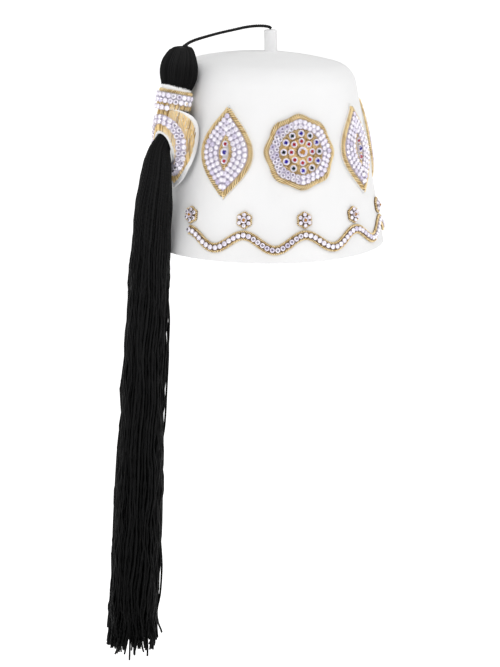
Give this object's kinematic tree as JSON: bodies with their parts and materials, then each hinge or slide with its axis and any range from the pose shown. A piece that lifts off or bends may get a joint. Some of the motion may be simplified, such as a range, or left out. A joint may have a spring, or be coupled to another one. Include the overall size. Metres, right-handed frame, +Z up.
{
  "type": "fez with long tassel",
  "caption": "White felt fez with stone-set gold ornaments, and a long black tassel held in a jewelled cuff and ring at its side.",
  "frame": {"origin": "centre of the rim's opening, in the plane of the rim, where the hat sits on a head", "axes": "+Z up along the crown's axis, -Y the front, +X towards the wearer's left; the tassel is at -X"},
  "size_m": [0.2383, 0.19, 0.5156],
  "materials": {
    "felt_white": "smooth pressed wool felt, matt",
    "tassel_black": "black rayon strands with a faint sheen",
    "cord_black": "twisted black cord",
    "gold_bullion": "coiled gold bullion wire and satin stitch",
    "stone_lilac": "pale lilac cut glass in white metal cups",
    "stone_amber": "amber cut glass",
    "stone_red": "red cut glass",
    "stone_blue": "blue cut glass",
    "stone_green": "dark green cut glass"
  },
  "bodies": {
    "root": {"crown": "felt_white", "cuff_low_row": "stone_lilac", "cuff_rows": "stone_lilac", "flower_1": "gold_bullion", "flower_2": "gold_bullion", "flower_3": "gold_bullion", "flower_4": "gold_bullion", "flower_5": "gold_bullion", "flower_6": "gold_bullion", "flower_stone_1": "stone_amber", "flower_stone_2": "stone_amber", "flower_stone_3": "stone_amber", "flower_stone_4": "stone_amber", "flower_stone_5": "stone_amber", "flower_stone_6": "stone_amber", "garland": "stone_lilac", "medallion_bed_left": "stone_lilac", "medallion_bed_right": "stone_lilac", "medallion_bed_side": "stone_lilac", "medallion_pad_left": "gold_bullion", "medallion_pad_right": "gold_bullion", "medallion_pad_side": "gold_bullion", "medallion_stone_left_1": "stone_blue", "medallion_stone_left_2": "stone_red", "medallion_stone_left_3": "stone_red", "medallion_stone_right_1": "stone_blue", "medallion_stone_right_2": "stone_red", "medallion_stone_right_3": "stone_red", "medallion_stone_side_1": "stone_blue", "medallion_stone_side_2": "stone_red", "medallion_stone_side_3": "stone_red", "ring_rows": "stone_lilac", "rosette_bed": "stone_lilac", "rosette_pad": "gold_bullion", "rosette_stone_centre": "stone_amber", "rosette_stone_inner_1": "stone_red", "rosette_stone_inner_2": "stone_red", "rosette_stone_inner_3": "stone_red", "rosette_stone_inner_4": "stone_red", "rosette_stone_inner_5": "stone_red", "rosette_stone_inner_6": "stone_red", "rosette_stone_inner_7": "stone_red", "rosette_stone_inner_8": "stone_red", "rosette_stone_outer_1": "stone_blue", "rosette_stone_outer_10": "stone_green", "rosette_stone_outer_11": "stone_blue", "rosette_stone_outer_12": "stone_green", "rosette_stone_outer_2": "stone_green", "rosette_stone_outer_3": "stone_blue", "rosette_stone_outer_4": "stone_green", "rosette_stone_outer_5": "stone_blue", "rosette_stone_outer_6": "stone_green", "rosette_stone_outer_7": "stone_blue", "rosette_stone_outer_8": "stone_green", "rosette_stone_outer_9": "stone_blue", "stem": "felt_white", "tassel": "tassel_black", "tassel_cord": "cord_black", "tassel_cuff": "gold_bullion", "tassel_ring": "gold_bullion"}
  },
  "joints": []
}
